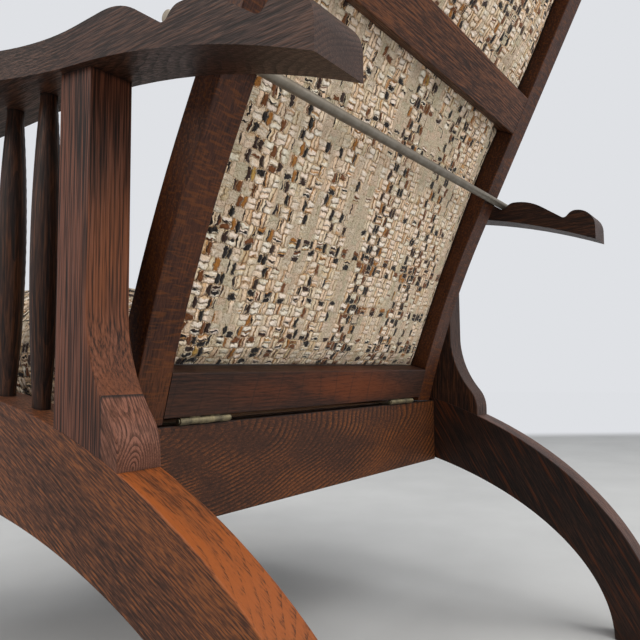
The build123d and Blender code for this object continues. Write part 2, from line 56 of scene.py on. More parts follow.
# Sizes of the oak's pattern in metres. Real pores are 0.2 to 0.4 mm wide, too fine to show from the camera,
# so pores and hairs are drawn as coarse as they need to show.
WAVE = 0.314  # a wave texture of scale 1 repeats after this length
BEND = 0.0556  # length of a bend in the growth rings
SWAY = 0.018  # how far such a bend strays
PATCH = 0.02222  # where the rings show more and where less
PORE = 0.001613  # width of a group of open pores
HAIR = 0.0005263  # width of a hairline between them
CLOUD = 0.05  # where the wood took more of the fumes and where less
FLECK = 0.0033333  # width of a fleck of the rays
ALONG = 0.25  # bends, patches and clouds are four times as long along the grain
BRUSHED = 0.0005  # depth of the brushed-out grain
GLUE_AND_SHADE_LINE = (0.0006, 0.0018)  # half width of a dark glue line and of a painted line of shade, and where the edge has faded out
CORNER_SHADE_REACH = 0.005  # how far the painted shade and dirt reach out of corners

# Sizes of the tweed's pattern in metres. A fibre of wool is 0.03 mm thick, too fine to show, so tufts of
# fibres are drawn as coarse as they need to show.
STRAND = (0.0056, 0.0061)  # width of a warp and of a weft strand
WANDER = ((0.0454545, 0.008), (0.00625, 0.0052), (0.0022222, 0.0026))  # bends in the yarn, and their reach
SLUB = 0.0047619  # thick and thin places of the yarn
FUZZ = 0.0019231  # ends of fibres where the yarn is matted
ZONE = 0.0294118  # places where the cloth is matted
TUFT = (0.00090909, 0.0041667)  # width and length of a tuft of fibres
LAY = 0.22  # radians by which the twist of the yarn turns the fibres
WEAVE_DEPTH = 0.003
PLAN_REACH = 0.5  # a plan of stripes is at most this long

# Sizes of the metals' pattern in metres
FILM = 0.0166667  # a dull place in the surface
SCRATCH = 0.0011111  # real ones are finer, and are drawn as coarse as they need to show
SCRATCH_DEPTH = 0.0002

GRIME_AND_SHADE = "#0c0604"  # old wax and dust in joints and holes, and painted shade in corners and along the rear seat rail's top
FELT = "#f4ede1"  # matted yarn
HALF = (0.5, 0.5, 0.5)
ONE = (1, 1, 1)


def hex_colour(code):
    """An sRGB hex colour as linear RGBA."""
    parts = [int(code[start:start + 2], 16) / 255 for start in (1, 3, 5)]
    return (*[part / 12.92 if part <= 0.04045 else ((part + 0.055) / 1.055) ** 2.4 for part in parts], 1)


def add(tree, kind, inputs=None, **settings):
    """Add a node with its settings; each input is a plain value or the output that it is linked to.

    The inputs of Map Range are 0 the value, 1 and 2 the old limits, 3 and 4 the new ones. Those of a Mix of
    colours are 0 the share, 6 and 7 the colours, with output 2, and of a Mix of numbers 0, 2 and 3."""
    made = tree.nodes.new("ShaderNode" + kind)
    for name, value in settings.items():
        if name == "stops":
            stops = [(place, hex_colour(colour) if isinstance(colour, str) else colour)
                     for place, colour in value]
            elements = made.color_ramp.elements
            elements[0].position, elements[0].color = stops[0]
            elements[1].position, elements[1].color = stops[-1]
            for place, colour in stops[1:-1]:
                elements.new(place).color = colour
        elif name == "interpolation":
            made.color_ramp.interpolation = value
        else:
            setattr(made, name, value)
    for name, value in (inputs or {}).items():
        socket = made.inputs[name]
        if isinstance(value, bpy.types.NodeSocket):
            tree.links.new(value, socket)
        else:
            socket.default_value = value
    return made


def new_material(name):
    """A new material, its node tree and its main shader."""
    material = bpy.data.materials.new(name)
    material.use_nodes = True
    return material, material.node_tree, material.node_tree.nodes["Principled BSDF"]


def wear(tree, place, depth, clouds, worn):
    """How much of the stain is rubbed off, and on the far arch's tops and the post's rear how much painted
    sheen
    and light are laid on: most in the middle of the place, less where the wood took more of the fumes, and
    little in the pores."""
    centre, reach, strength, tops_only = worn
    shift = add(tree, "VectorMath", {0: place, 1: centre}, operation="SUBTRACT").outputs[0]
    shift = add(tree, "VectorMath", {0: shift, 1: tuple(1 / part for part in reach)},
                operation="MULTIPLY").outputs[0]
    far = add(tree, "VectorMath", {0: shift}, operation="LENGTH").outputs["Value"]
    rubbed = add(tree, "MapRange", {0: far, 1: 1.0, 2: 0.3, 3: 0.0, 4: strength},
                 interpolation_type="SMOOTHSTEP").outputs[0]
    smoke = add(tree, "MapRange", {0: clouds, 1: 0.36, 2: 0.52, 3: 0.3, 4: 1}).outputs[0]
    rubbed = add(tree, "Math", {0: rubbed, 1: smoke}, operation="MULTIPLY").outputs[0]
    raised = add(tree, "MapRange", {0: depth, 1: 0.22, 2: 0.5, 3: 0.25, 4: 1}).outputs[0]
    rubbed = add(tree, "Math", {0: rubbed, 1: raised}, operation="MULTIPLY").outputs[0]
    if tops_only:
        normal = add(tree, "NewGeometry").outputs["True Normal"]
        facing = add(tree, "SeparateXYZ", {0: normal}).outputs["Z"]
        facing = add(tree, "MapRange", {0: facing, 1: 0.3, 2: 0.6}).outputs[0]
        rubbed = add(tree, "Math", {0: rubbed, 1: facing}, operation="MULTIPLY").outputs[0]
    return rubbed


def oak(name, grain, pith, tones, ring=0.003, figure=1.0, pores=1.0, dash=0.07, flecks=None, worn=None,
        mirrored=False, glue_and_shade_lines=(), holes=(), checks=None):
    """Fumed oak, brushed and varnished: growth rings cut by the board's faces, open pores that run along the
    grain, flecks of the rays, and a place where the stain is worn to orange. Corners where pieces meet are
    darkened with painted shade. The eye sees a deep brown that is streaked along the grain, with a dull gloss
    on the hard wood and none in the pores.

    The pith is a point on the middle line of the tree that the board was cut from. Tones are those of open
    pores, body, high light and worn stain; on the far arch the last is the tint of painted sheen. A ring is
    the width of a growth ring in metres, figure and pores say how strongly rings and pores show, and dash is
    how wide a pore is for its length. Flecks are their strength, scale each way with the grain last, level
    and tint. A mirrored board is bent the same way before and behind. The dark lines across an axis are glue
    lines, and along the rear seat rail's top painted shade of the gap above it; holes are nail holes with
    their radius, and checks is the distance between fine cracks."""
    material, tree, shader = new_material(name)
    coordinates = add(tree, "TexCoord").outputs
    place = fold = coordinates["Object"]
    if mirrored:
        fold = add(tree, "VectorMath", {0: place}, operation="ABSOLUTE").outputs[0]
    turn = Vector(grain).rotation_difference(Vector((0, 0, 1)))
    off = -(turn @ Vector(pith))
    board = add(tree, "Mapping", {"Vector": fold, "Rotation": tuple(turn.to_euler()),
                                  "Location": tuple(off)}).outputs[0]
    slow = add(tree, "Mapping", {"Vector": board, "Scale": (1, 1, ALONG)}).outputs[0]
    # Growth rings, each with a dark porous start
    drift = add(tree, "TexNoise", {"Vector": slow, "Scale": 1 / BEND, "Detail": 1}).outputs["Color"]
    drift = add(tree, "VectorMath", {0: drift, 1: HALF}, operation="SUBTRACT").outputs[0]
    warped = add(tree, "VectorMath", {0: drift, 1: (SWAY, SWAY, 0), 2: board},
                 operation="MULTIPLY_ADD").outputs[0]
    rings = add(tree, "TexWave", {"Vector": warped, "Scale": WAVE / ring}, wave_type="RINGS",
                rings_direction="Z", wave_profile="SAW").outputs["Fac"]
    early = add(tree, "MapRange", {0: rings, 1: 0.0, 2: 0.6, 3: -0.26 * figure, 4: 0.12 * figure}).outputs[0]
    patchy = add(tree, "TexNoise", {"Vector": slow, "Scale": 1 / PATCH, "Detail": 2}).outputs["Fac"]
    patchy = add(tree, "MapRange", {0: patchy, 1: 0.35, 2: 0.65, 3: 0.2, 4: 1.5}).outputs[0]
    early = add(tree, "Math", {0: early, 1: patchy}, operation="MULTIPLY").outputs[0]
    # Open pores and the hairlines between them
    fibres = add(tree, "Mapping", {"Vector": board, "Scale": (1, 1, dash)}).outputs[0]
    open_pores = add(tree, "TexNoise", {"Vector": fibres, "Scale": 1 / PORE, "Detail": 2,
                                        "Roughness": 0.6}).outputs["Fac"]
    lines = add(tree, "MapRange", {0: open_pores, 1: 0.3, 2: 0.7, 3: -0.36 * pores,
                                   4: 0.36 * pores}).outputs[0]
    # Where a face is cut across the grain, the pores are short and hardly show
    across = add(tree, "VectorMath", {0: coordinates["Normal"], 1: grain},
                 operation="DOT_PRODUCT").outputs["Value"]
    across = add(tree, "Math", {0: across}, operation="ABSOLUTE").outputs[0]
    across = add(tree, "MapRange", {0: across, 1: 0.1, 2: 0.5, 3: 1, 4: 0.3}).outputs[0]
    lines = add(tree, "Math", {0: lines, 1: across}, operation="MULTIPLY").outputs[0]
    hairs = add(tree, "TexNoise", {"Vector": fibres, "Scale": 1 / HAIR, "Detail": 1}).outputs["Fac"]
    wisps = add(tree, "MapRange", {0: hairs, 1: 0.3, 2: 0.7, 3: -0.12, 4: 0.12}).outputs[0]
    # How high the wood stands and how light it is, from the pores up to the hard late wood
    clouds = add(tree, "TexNoise", {"Vector": slow, "Scale": 1 / CLOUD, "Detail": 3}).outputs["Fac"]
    cloud = add(tree, "MapRange", {0: clouds, 1: 0.3, 2: 0.7, 3: 0.38, 4: 0.62}).outputs[0]
    depth = early
    for part in (lines, wisps, cloud):
        depth = add(tree, "Math", {0: depth, 1: part}, operation="ADD").outputs[0]
    dark, middle, light, warm = tones
    colour = add(tree, "ValToRGB", {0: depth}, stops=((0.15, dark), (0.5, middle), (0.8, light))).outputs[0]
    # Marks on the wood: each is a share of the surface and the colour that it has there
    marks = []
    if flecks:
        strength, spread, level, tint = flecks
        flat = add(tree, "Mapping", {"Vector": board, "Scale": spread}).outputs[0]
        fleck = add(tree, "TexNoise", {"Vector": flat, "Scale": 1 / FLECK, "Detail": 2}).outputs["Fac"]
        fleck = add(tree, "MapRange", {0: fleck, 1: level, 2: level + 0.14, 3: 0, 4: strength}).outputs[0]
        marks.append((fleck, tint))
    if worn:
        marks.append((wear(tree, place, depth, clouds, worn), warm))
    spot = add(tree, "SeparateXYZ", {0: place}).outputs
    # Dark lines across an axis: glue lines, and painted shade where a gap lies in shadow
    for axis, where in glue_and_shade_lines:
        near = add(tree, "Math", {0: spot[axis], 1: where}, operation="SUBTRACT").outputs[0]
        near = add(tree, "Math", {0: near}, operation="ABSOLUTE").outputs[0]
        near = add(tree, "MapRange", {0: near, 1: GLUE_AND_SHADE_LINE[0], 2: GLUE_AND_SHADE_LINE[1], 3: 0.9, 4: 0}).outputs[0]
        marks.append((near, GRIME_AND_SHADE))
    for hole, radius in holes:
        away = add(tree, "VectorMath", {0: place, 1: hole}, operation="DISTANCE").outputs["Value"]
        away = add(tree, "MapRange", {0: away, 1: radius * 0.6, 2: radius, 3: 0.9, 4: 0}).outputs[0]
        marks.append((away, GRIME_AND_SHADE))
    if checks:
        crack = add(tree, "TexWave", {"Vector": place, "Scale": WAVE / checks, "Distortion": 3.0, "Detail": 2,
                                      "Detail Scale": 1.5}, bands_direction="X").outputs["Fac"]
        crack = add(tree, "MapRange", {0: crack, 1: 0.985, 2: 1.0, 3: 0, 4: 0.4}).outputs[0]
        marks.append((crack, dark))
    # Painted shade, with old wax and dust: an ambient occlusion mask darkens the corners where pieces meet
    corner_shade = add(tree, "AmbientOcclusion", {"Distance": CORNER_SHADE_REACH}, samples=6).outputs["AO"]
    corner_shade = add(tree, "MapRange", {0: corner_shade, 1: 0.55, 2: 0.8, 3: 0.75, 4: 0}).outputs[0]
    marks.append((corner_shade, GRIME_AND_SHADE))
    for share, tint in marks:
        colour = add(tree, "Mix", {0: share, 6: colour, 7: hex_colour(tint)}, data_type="RGBA").outputs[2]
    gloss = add(tree, "MapRange", {0: depth, 1: 0.2, 2: 0.8, 3: 0.6, 4: 0.42}).outputs[0]
    dent = add(tree, "Bump", {"Height": depth, "Strength": 0.5, "Distance": BRUSHED}).outputs[0]
    for socket, value in (("Base Color", colour), ("Roughness", gloss), ("Normal", dent)):
        tree.links.new(value, shader.inputs[socket])
    shader.inputs["IOR"].default_value = 1.5
    shader.inputs["Specular IOR Level"].default_value = 0.22
    return material


def bulge(tree, vector):
    """How high a point lies on its strand or float, for both ways: flat on top with steep edges, and as a
    plain arch."""
    part = add(tree, "VectorMath", {0: vector}, operation="FRACTION").outputs[0]
    off = add(tree, "VectorMath", {0: part, 1: (2, 2, 2), 2: (-1, -1, -1)},
              operation="MULTIPLY_ADD").outputs[0]
    square = add(tree, "VectorMath", {0: off, 1: off}, operation="MULTIPLY").outputs[0]
    steep = add(tree, "VectorMath", {0: square, 1: square}, operation="MULTIPLY").outputs[0]
    flat_top = add(tree, "VectorMath", {0: ONE, 1: steep}, operation="SUBTRACT").outputs[0]
    arch = add(tree, "VectorMath", {0: ONE, 1: square}, operation="SUBTRACT").outputs[0]
    return [add(tree, "SeparateXYZ", {0: height}).outputs for height in (flat_top, arch)]


def numbered(tree, vector):
    """The number of the strand or float that a point lies on, for both ways."""
    whole = add(tree, "VectorMath", {0: vector}, operation="FLOOR").outputs[0]
    return add(tree, "SeparateXYZ", {0: whole}).outputs


def tweed(name, shift, warp_bands, weft_bands):
    """Basket-woven tweed of slubbed wool: each float shows two strands, mostly cream, with black, brown and
    ochre ones that gather in a loose plaid. The eye sees a thick, soft, quite matt cloth with small shadows
    between the strands. The bands are places along each way in metres, with the share of dark yarn that
    starts there."""
    material, tree, shader = new_material(name)
    flat = add(tree, "UVMap", uv_map="weave").outputs[0]
    place = flat
    for length, reach in WANDER:
        wander = add(tree, "TexNoise", {"Vector": flat, "Scale": 1 / length, "Detail": 1}).outputs["Color"]
        wander = add(tree, "VectorMath", {0: wander, 1: HALF}, operation="SUBTRACT").outputs[0]
        place = add(tree, "VectorMath", {0: wander, 1: (reach, reach, 0), 2: place},
                    operation="MULTIPLY_ADD").outputs[0]
    warp_width, weft_width = STRAND
    strands = add(tree, "VectorMath", {0: place, 1: (1 / warp_width, 1 / weft_width, 0)},
                  operation="MULTIPLY").outputs[0]
    pairs = add(tree, "VectorMath", {0: strands, 1: HALF}, operation="MULTIPLY").outputs[0]
    threads = add(tree, "VectorMath", {0: strands, 1: (3, 3, 3)}, operation="MULTIPLY").outputs[0]
    warp_on_top = add(tree, "TexChecker", {"Vector": pairs, "Scale": 1, "Color1": (1, 1, 1, 1),
                                           "Color2": (0, 0, 0, 1)}).outputs["Fac"]
    strand_round, strand_arch = bulge(tree, strands)
    float_round, float_arch = bulge(tree, pairs)
    strand, thread, block = (numbered(tree, vector) for vector in (strands, threads, pairs))
    spot = add(tree, "SeparateXYZ", {0: place}).outputs
    lump = add(tree, "TexNoise", {"Vector": flat, "Scale": 1 / SLUB, "Detail": 2}).outputs["Fac"]
    lump = add(tree, "MapRange", {0: lump, 1: 0.3, 2: 0.7, 3: 0.7, 4: 1.15}).outputs[0]
    fuzz = add(tree, "TexNoise", {"Vector": flat, "Scale": 1 / FUZZ, "Detail": 3,
                                  "Roughness": 0.7}).outputs["Fac"]
    fuzz = add(tree, "MapRange", {0: fuzz, 1: 0.35, 2: 0.65, 3: 0.4, 4: 1.0}).outputs[0]
    # Matted places are drawn out up the cloth
    columns = add(tree, "Mapping", {"Vector": flat, "Scale": (1, 0.22, 1)}).outputs[0]
    zone = add(tree, "TexNoise", {"Vector": columns, "Scale": 1 / ZONE, "Detail": 3}).outputs["Fac"]
    felted = add(tree, "MapRange", {0: zone, 1: 0.43, 2: 0.54, 3: 0.85, 4: 0.0}).outputs[0]
    warp_tints = ((0, "#fdf3e6"), (0.45, "#f3e5d0"), (0.75, "#e2cbab"), (0.93, "#bf9a6c"))
    weft_tints = ((0, "#ffffff"), (0.6, "#fbf3e8"), (0.88, "#ecdac0"), (0.96, "#cda878"))
    dyes = ((0, "#1f1917"), (0.42, "#35221a"), (0.56, "#754724"), (0.74, "#a46e31"), (0.88, "#b8944f"))
    creams = ((0.38, "#efe9d6"), (0.55, "#fbf2e2"), (0.75, "#fff3e6"), (0.95, "#ffecdc"))
    tuft_width, tuft_length = TUFT
    warp_tufts = (1 / tuft_width, 1 / tuft_length, 1)
    weft_tufts = (1 / tuft_length, 1 / tuft_width, 1)
    ways = []
    for across, along, bands, seed, tints, tufts in (
            ("X", "Y", warp_bands, 1.0, warp_tints, warp_tufts),
            ("Y", "X", weft_bands, 5.0, weft_tints, weft_tufts)):
        number = add(tree, "CombineXYZ", {0: strand[across], 1: block[along], 2: seed + shift}).outputs[0]
        chance = add(tree, "TexWhiteNoise", {"Vector": number}, noise_dimensions="3D")
        number = add(tree, "CombineXYZ", {0: thread[across], 1: block[along],
                                          2: seed + shift + 20}).outputs[0]
        fine = add(tree, "TexWhiteNoise", {"Vector": number}, noise_dimensions="3D")
        # The share of dyed yarn follows the stripes, and changes slowly along each strand
        slack = add(tree, "Math", {0: block[along], 1: 0.3}, operation="MULTIPLY").outputs[0]
        runs = add(tree, "CombineXYZ", {0: strand[across], 1: slack, 2: seed + 9}).outputs[0]
        run = add(tree, "TexNoise", {"Vector": runs, "Scale": 1, "Detail": 1}).outputs["Fac"]
        run = add(tree, "MapRange", {0: run, 1: 0.35, 2: 0.65, 3: 0.55, 4: 1.35}).outputs[0]
        at = add(tree, "Math", {0: spot[across], 1: 1 / PLAN_REACH}, operation="MULTIPLY").outputs[0]
        share = add(tree, "ValToRGB", {0: at}, interpolation="CONSTANT",
                    stops=[(metres / PLAN_REACH, (dark, dark, dark, 1)) for metres, dark in bands]).outputs[0]
        share = add(tree, "Math", {0: share, 1: run}, operation="MULTIPLY").outputs[0]
        # Between the stripes the yarn is matted in places, and its strands hardly show
        matted = add(tree, "MapRange", {0: share, 1: 0.0, 2: 0.5, 3: felted, 4: 0.0}).outputs[0]
        high = add(tree, "Math", {0: float_round[along], 1: 0.55, 2: 0.45},
                   operation="MULTIPLY_ADD").outputs[0]
        high = add(tree, "Math", {0: strand_round[across], 1: high}, operation="MULTIPLY").outputs[0]
        high = add(tree, "Math", {0: high, 1: lump}, operation="MULTIPLY").outputs[0]
        high = add(tree, "Mix", {0: matted, 2: high, 3: fuzz}, data_type="FLOAT").outputs[0]
        lengths = add(tree, "VectorMath", {0: place, 1: tufts}, operation="MULTIPLY").outputs[0]
        lengths = add(tree, "Mapping", {"Vector": lengths, "Rotation": (0, 0, LAY)}).outputs[0]
        fibre = add(tree, "TexNoise", {"Vector": lengths, "Scale": 1, "Detail": 2,
                                       "Roughness": 0.6}).outputs["Fac"]
        # A dyed float is whole, but for pale fibres in it; single dyed threads run between the pale ones
        solid = add(tree, "Math", {0: share, 1: 0.75}, operation="MULTIPLY").outputs[0]
        solid = add(tree, "Math", {0: chance.outputs["Value"], 1: solid}, operation="LESS_THAN").outputs[0]
        single = add(tree, "Math", {0: share, 1: 0.6}, operation="MULTIPLY").outputs[0]
        single = add(tree, "Math", {0: fine.outputs["Value"], 1: single}, operation="LESS_THAN").outputs[0]
        lens = add(tree, "Math", {0: strand_arch[across], 1: float_arch[along]},
                   operation="MULTIPLY").outputs[0]
        ragged = add(tree, "Math", {0: fibre, 1: -1.6, 2: lens}, operation="MULTIPLY_ADD").outputs[0]
        pale_fibre = add(tree, "MapRange", {0: ragged, 1: -0.62, 2: -0.52}).outputs[0]
        dyed = add(tree, "Math", {0: solid, 1: single}, operation="MAXIMUM").outputs[0]
        dyed = add(tree, "Math", {0: dyed, 1: pale_fibre}, operation="MULTIPLY").outputs[0]
        pick = add(tree, "Mix", {0: solid, 2: fine.outputs["Color"], 3: chance.outputs["Color"]},
                   data_type="FLOAT").outputs[0]
        dye = add(tree, "ValToRGB", {0: pick}, interpolation="CONSTANT", stops=dyes).outputs[0]
        # Undyed yarn is cream, greyer in some places and tinged by the float
        other = add(tree, "SeparateColor", {0: chance.outputs["Color"]}).outputs[1]
        hue = add(tree, "Math", {0: other, 1: 0.55}, operation="MULTIPLY").outputs[0]
        hue = add(tree, "Math", {0: zone, 1: 0.9, 2: hue}, operation="MULTIPLY_ADD").outputs[0]
        plain = add(tree, "ValToRGB", {0: hue}, stops=creams).outputs[0]
        twist = add(tree, "SeparateColor", {0: fine.outputs["Color"]}).outputs[2]
        tinge = add(tree, "ValToRGB", {0: twist}, interpolation="CONSTANT", stops=tints).outputs[0]
        tinge = add(tree, "Mix", {0: matted, 6: tinge, 7: hex_colour(FELT)}, data_type="RGBA").outputs[2]
        plain = add(tree, "Mix", {0: 1.0, 6: plain, 7: tinge}, data_type="RGBA",
                    blend_type="MULTIPLY").outputs[2]
        colour = add(tree, "Mix", {0: dyed, 6: plain, 7: dye}, data_type="RGBA").outputs[2]
        ways.append((high, colour, fibre))
    (warp_high, warp_colour, warp_fibre), (weft_high, weft_colour, weft_fibre) = ways
    high = add(tree, "Mix", {0: warp_on_top, 2: weft_high, 3: warp_high}, data_type="FLOAT").outputs[0]
    colour = add(tree, "Mix", {0: warp_on_top, 6: weft_colour, 7: warp_colour}, data_type="RGBA").outputs[2]
    fibre = add(tree, "Mix", {0: warp_on_top, 2: weft_fibre, 3: warp_fibre}, data_type="FLOAT").outputs[0]
    # The hollows between the strands are brown with shadow, and the yarn's own fibres shade it
    hollow = add(tree, "MapRange", {0: fibre, 1: 0.3, 2: 0.7, 3: -0.42, 4: 0.26}).outputs[0]
    hollow = add(tree, "Math", {0: high, 1: hollow}, operation="ADD").outputs[0]
    shades = ((0, "#85745d"), (0.25, "#c0b39f"), (0.5, "#ece4d8"), (0.85, "#ffffff"))
    shade = add(tree, "ValToRGB", {0: hollow}, stops=shades).outputs[0]
    colour = add(tree, "Mix", {0: 1.0, 6: colour, 7: shade}, data_type="RGBA",
                 blend_type="MULTIPLY").outputs[2]
    relief = add(tree, "Math", {0: fibre, 1: 0.3, 2: high}, operation="MULTIPLY_ADD").outputs[0]
    bump = add(tree, "Bump", {"Height": relief, "Strength": 1.0, "Distance": WEAVE_DEPTH}).outputs[0]
    for socket, value in (("Base Color", colour), ("Normal", bump)):
        tree.links.new(value, shader.inputs[socket])
    shader.inputs["Roughness"].default_value = 0.92
    shader.inputs["Specular IOR Level"].default_value = 0.2
    shader.inputs["Sheen Weight"].default_value = 0.12
    shader.inputs["Sheen Roughness"].default_value = 0.5
    return material


def metal(name, body, film_tint, rough, brushed):
    """Bare metal: fine lines of wear that break up its shine, and a dull film in places. Brushed gives the
    scale of the lines each way."""
    material, tree, shader = new_material(name)
    place = add(tree, "TexCoord").outputs["Object"]
    film = add(tree, "TexNoise", {"Vector": place, "Scale": 1 / FILM, "Detail": 4,
                                  "Roughness": 0.6}).outputs["Fac"]
    lined = add(tree, "Mapping", {"Vector": place, "Scale": brushed}).outputs[0]
    lines = add(tree, "TexNoise", {"Vector": lined, "Scale": 1 / SCRATCH, "Detail": 2}).outputs["Fac"]
    dull = add(tree, "MapRange", {0: film, 1: 0.42, 2: 0.62}).outputs[0]
    colour = add(tree, "Mix", {0: dull, 6: hex_colour(body), 7: hex_colour(film_tint)},
                 data_type="RGBA").outputs[2]
    spread = add(tree, "Math", {0: dull, 1: 0.12, 2: rough}, operation="MULTIPLY_ADD").outputs[0]
    spread = add(tree, "Math", {0: lines, 1: 0.2, 2: spread}, operation="MULTIPLY_ADD").outputs[0]
    bump = add(tree, "Bump", {"Height": lines, "Strength": 0.2, "Distance": SCRATCH_DEPTH}).outputs[0]
    for socket, value in (("Base Color", colour), ("Roughness", spread), ("Normal", bump)):
        tree.links.new(value, shader.inputs[socket])
    shader.inputs["Metallic"].default_value = 1.0
    return material


# Tones of each board: open pores, body, high light, and the orange of worn stain, which on the far arch is
# the tint of painted sheen
BROWN = ("#1f0e07", "#40220f", "#653818", "#6a3514")
POST = ("#140804", "#452619", "#683d2b", "#7c441f")
SEAT_RAIL = ("#1c0e07", "#412414", "#75421c", "#633412")
BOTTOM_RAIL = ("#190d08", "#2f1a10", "#452616", "#6a3210")
DARK = ("#120703", "#2a150a", "#4a2b18", "#4a260e")
ARM = ("#140904", "#2b170e", "#482b1b", "#3a1d0a")
STILE = ("#150803", "#36190b", "#4d2811", "#6c3c1a")
NEAR_ARCH = ("#24140c", "#4e2d1c", "#844c24", "#8c4a1e")
# The far arch is toned much darker than the near one: partly its own darker wood, partly painted shade for
# the shade that the chair's body casts on its inner face
FAR_ARCH = ("#0e0603", "#1c0e07", "#2f190d", "#5a3c30")
FOOT_BLOCK = ("#2a160c", "#563425", "#825544", "#7a482e")
BARE_IN_SHADE = ("#2c1c10", "#4a3220", "#5e4229", "#5c3c22")  # slats and cleats, which were never stained, toned dark as painted shade for the gap under the seat

# Ways of the grain. Each arch is sawn from a wide board, so its grain slopes down and back.
SIDEWAYS = (1, 0, 0)
LENGTHWAYS = (0, 1, 0)
UPRIGHT = (0, 0, 1)
UP_THE_BACK = (0, sin(BACK_LEAN), cos(BACK_LEAN))
NEAR_SLOPE = (0, 0.88, -0.47)
FAR_SLOPE = (0, 0.5, -0.86)
SKEWED = (0.95, 0.31, -0.03)  # the rear seat rail's grain runs out through its face

# Worn places, and places of painted sheen and light: middle and reach in metres, strength, and whether only
# faces that look up are marked
NEAR_ARCH_WEAR = ((0.315, 0.37, 0.26), (0.1, 0.2, 0.22), 0.95, True)
# On the far arch this marks no wear: it is painted sheen, the pale gloss that its tops show at a glancing
# view
FAR_ARCH_TOP_SHEEN = ((-0.315, 0.4, 0.2), (0.2, 0.4, 0.5), 0.8, True)
# On the post the worn place is partly worn stain, partly painted light: it lifts the middle of the rear face,
# which curves to face up below the arm's shade
POST_WEAR_AND_LIGHT = ((0.31, 0.285, 0.42), (0.05, 0.05, 0.15), 1.0, False)
BOTTOM_RAIL_WEAR = ((-0.02, 0.22, 0.33), (0.24, 0.1, 0.03), 0.7, False)
STILE_WEAR = ((0.257, 0.24, 0.33), (0.05, 0.06, 0.05), 0.5, False)

# Old nail holes: middle and radius in metres
POST_HOLES = (((0.3015, 0.275, 0.4489), 0.0022),)
SEAT_RAIL_HOLES = (((0.245, 0.227, 0.2945), 0.0016), ((0.223, 0.227, 0.297), 0.0012))
STILE_HOLES = (((0.2555, 0.2305, 0.3235), 0.0013),)

# Flecks of the rays: strength, scale each way with the grain last, level and tint
FAR_ARCH_FLECKS = (0.3, (0.8, 0.8, 0.04), 0.54, "#7a3a10")
STILE_FLECKS = (0.36, (0.22, 1, 1.4), 0.5, "#74400f")

# Finishes of the carried-over pieces
block_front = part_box("left_rear_foot_block")[0][1]
rail_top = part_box("rear_seat_rail")[1][2]
finishes = {
    "left_arch": oak("fumed_oak_near_arch", NEAR_SLOPE, (0.25, 0, 0.20), NEAR_ARCH, ring=0.0028, figure=0.6,
                     pores=0.8, dash=0.1, mirrored=True, worn=NEAR_ARCH_WEAR),
    "right_arch": oak("fumed_oak_far_arch", FAR_SLOPE, (0.45, 0, 0.3), FAR_ARCH, figure=0.4, mirrored=True,
                      flecks=FAR_ARCH_FLECKS, worn=FAR_ARCH_TOP_SHEEN),
    "left_rear_post": oak("fumed_oak_near_post", UPRIGHT, (0.12, 0.0, 0), POST, figure=0.4, pores=1.5,
                          dash=0.02, worn=POST_WEAR_AND_LIGHT, holes=POST_HOLES),
    "left_rear_foot_block": oak("fumed_oak_foot_block", FAR_SLOPE, (0.322, 0.30, 0.275), FOOT_BLOCK,
                                ring=0.0021, figure=0.9, pores=0.6, dash=0.12, glue_and_shade_lines=(("Y", block_front),)),
    # The dark line along the top of the rear seat rail is painted shade: the gap between the rails lies in
    # shadow
    "rear_seat_rail": oak("fumed_oak_flat_sawn", SKEWED, (0.25, 0.226, 0.297), SEAT_RAIL, ring=0.0032,
                          figure=1.1, pores=0.6, dash=0.04, glue_and_shade_lines=(("Z", rail_top),), holes=SEAT_RAIL_HOLES),
    "back_bottom_rail": oak("fumed_oak_bottom_rail", SIDEWAYS, (0, 0.1, 0.5), BOTTOM_RAIL, figure=0.5,
                            pores=0.6, worn=BOTTOM_RAIL_WEAR, checks=0.036),
    # Nickel plate on steel: a soft grey shine with a cloudy film, lined along the rod
    "support_rod": metal("worn_nickel_plate", "#837c71", "#787166", 0.36, (0.02, 1, 1)),
}
post_oak = oak("fumed_oak_upright", UPRIGHT, (0.2, 0.1, 0), DARK)
spindle_oak = oak("fumed_oak_turned", UPRIGHT, (0.28, 0.03, 0), DARK, figure=0.8, dash=0.04)
arm_oak = oak("fumed_oak_arm", LENGTHWAYS, (0.25, 0, 0.4), ARM, figure=0.6)
stile_oak = oak("fumed_oak_quarter_sawn", UP_THE_BACK, (0.2, 0.1, 0), STILE, figure=0.3, pores=0.6,
                dash=0.1, flecks=STILE_FLECKS, worn=STILE_WEAR, holes=STILE_HOLES)
rail_oak = oak("fumed_oak_rail", SIDEWAYS, (0, 0, 0.4), BROWN)
# Bare oak is paler than the fumed boards and has no deep stain in its pores; the slats are still toned dark,
# as painted shade for the shaded gap under the seat
slat_wood = oak("bare_oak_slat", SIDEWAYS, (0, 0, 0.1), BARE_IN_SHADE, figure=0.7)
# Brass that has not been cleaned for years is a dull brown yellow, with darker spots
hinge_brass = metal("aged_brass", "#8f8468", "#5f594b", 0.42, (1, 1, 1))
# Zinc on steel is a flat pale grey
screw_steel = metal("zinc_plated_steel", "#9c9c98", "#7a7a76", 0.35, (1, 1, 1))
# A word in a node's name gives its finish, the first that fits; the last fits all
families = (("spindle", spindle_oak), ("arm", arm_oak), ("stile", stile_oak), ("cleat_screws", screw_steel),
            ("slat", slat_wood), ("cleat", slat_wood), ("hinge", hinge_brass), ("screw", screw_steel),
            ("rail", rail_oak), ("", post_oak))
for name, piece in cad.items():
    chosen = finishes.get(name)
    if chosen is None:
        chosen = next(finish for word, finish in families if word in name)
    for index in range(len(piece.data.materials)):
        piece.data.materials[index] = chosen

# How the upholstery is puffed: size of its mesh in metres, the air in it, and the steps of the simulation
VOXEL = 0.006
PRESSURE = 4.0
LAST_STEP = 20


